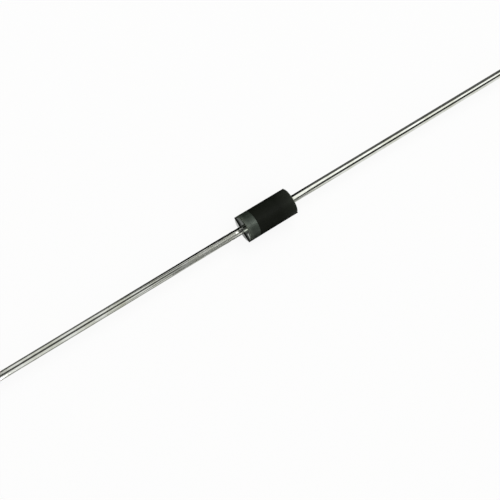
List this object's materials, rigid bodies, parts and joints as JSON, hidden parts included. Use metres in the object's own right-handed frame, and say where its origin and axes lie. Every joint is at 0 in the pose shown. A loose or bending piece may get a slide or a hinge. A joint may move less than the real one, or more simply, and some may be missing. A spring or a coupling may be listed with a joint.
{
  "type": "switching diode",
  "caption": "Axial switching diode: a black moulded cylinder with a grey cathode band and a straight tinned lead at each end.",
  "frame": {"origin": "centre of the moulded body, on the lead axis", "axes": "+X along the leads towards the anode tip (the banded cathode end is -X); the mould parts in the XY plane, +Z is normal to it"},
  "size_m": [0.0612, 0.0026, 0.0026],
  "materials": {
    "moulded_epoxy": "black filled epoxy, satin from the mould",
    "band_ink": "grey printed ink, slightly worn",
    "tinned_copper": "bright tin plate on drawn copper wire",
    "silicon": "etched silicon, opaque",
    "solder": "dull high-lead solder",
    "silicone_coating": "milky cured silicone"
  },
  "bodies": {
    "root": {"moulded_body": "moulded_epoxy", "cathode_band": "band_ink", "cathode_lead": "tinned_copper", "anode_lead": "tinned_copper", "silicon_die": "silicon", "cathode_solder": "solder", "anode_solder": "solder", "junction_coating": "silicone_coating"}
  },
  "joints": []
}
